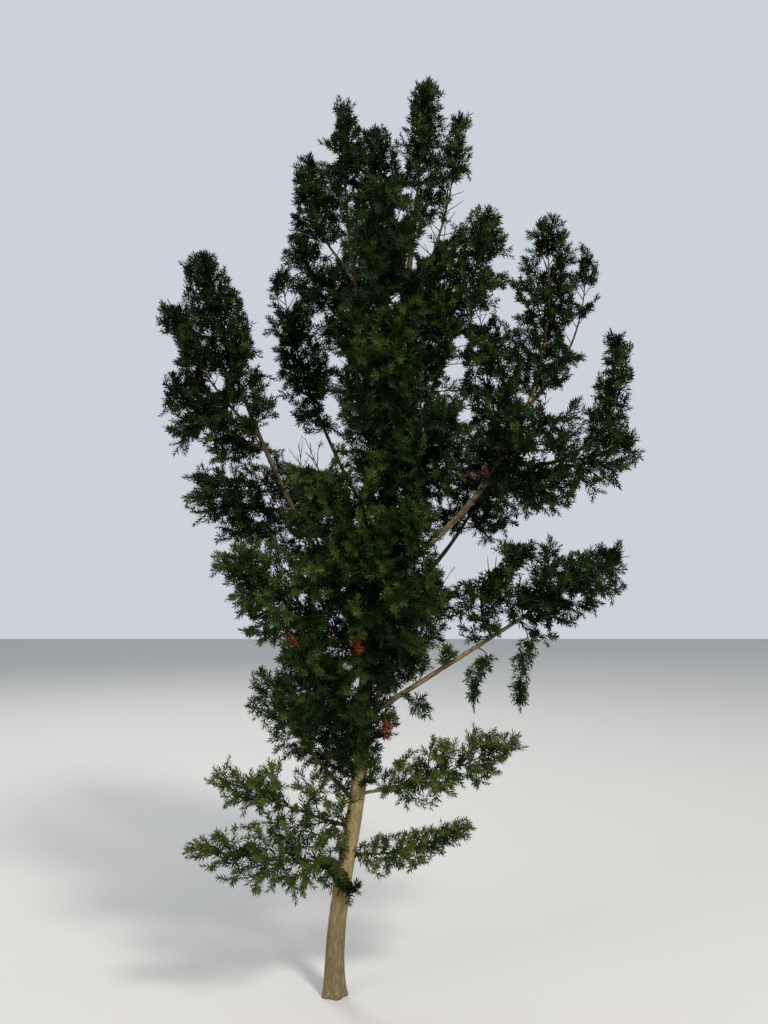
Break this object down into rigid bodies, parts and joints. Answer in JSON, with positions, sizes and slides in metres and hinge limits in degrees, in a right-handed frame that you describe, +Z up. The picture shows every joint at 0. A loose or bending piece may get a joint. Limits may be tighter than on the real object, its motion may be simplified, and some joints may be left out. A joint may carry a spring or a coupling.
{
  "type": "japanese yew tree",
  "caption": "Small evergreen yew tree with a slim leaning trunk, ascending boughs and open spires of dark needles, rooted in level ground.",
  "frame": {"origin": "middle of the flat cut under the trunk, at ground level", "axes": "+Z up the tree; the trunk leans towards +X, and the side that faces -Y is the one that the picture shows"},
  "size_m": [2.305, 1.5722, 4.5076],
  "materials": {
    "trunk_bark": "matt grey-tan bark with fine upright fissures",
    "bough_bark": "matt brown bark",
    "needles": "dark green needles with a soft gloss"
  },
  "bodies": {
    "root": {"trunk": "trunk_bark", "left_leader_bough": "bough_bark", "crown_back_bough": "bough_bark", "right_centre_bough": "bough_bark", "right_spire_bough": "bough_bark", "far_right_bough": "bough_bark", "right_low_bough": "bough_bark", "back_right_bough": "bough_bark", "left_spire_bough": "bough_bark", "left_shoulder_bough": "bough_bark", "back_left_bough": "bough_bark", "back_mid_bough": "bough_bark", "back_low_bough": "bough_bark", "low_left_bough": "bough_bark", "skirt_right_bough": "bough_bark", "leader_needles": "needles", "leader_right_needles": "needles", "leader_left_needles": "needles", "left_leader_needles": "needles", "crown_left_needles": "needles", "crown_left_low_needles": "needles", "crown_inner_left_needles": "needles", "crown_front_needles": "needles", "crown_back_needles": "needles", "crown_right_needles": "needles", "right_centre_needles": "needles", "right_spire_needles": "needles", "right_inner_needles": "needles", "right_outer_needles": "needles", "right_mid_needles": "needles", "far_right_needles": "needles", "far_right_pad_needles": "needles", "right_low_needles": "needles", "right_low_inner_needles": "needles", "back_right_needles": "needles", "centre_right_needles": "needles", "centre_low_right_needles": "needles", "left_spire_needles": "needles", "left_tip_needles": "needles", "left_outer_needles": "needles", "left_low_outer_needles": "needles", "left_shoulder_needles": "needles", "front_left_upper_needles": "needles", "front_left_needles": "needles", "front_centre_needles": "needles", "front_right_needles": "needles", "front_upper_needles": "needles", "back_left_needles": "needles", "back_mid_needles": "needles", "back_low_needles": "needles", "left_low_needles": "needles", "low_left_needles": "needles", "back_left_low_needles": "needles", "skirt_left_needles": "needles", "skirt_front_needles": "needles", "skirt_right_needles": "needles", "low_right_needles": "needles", "trunk_front_needles": "needles", "right_under_needles": "needles"}
  },
  "joints": []
}
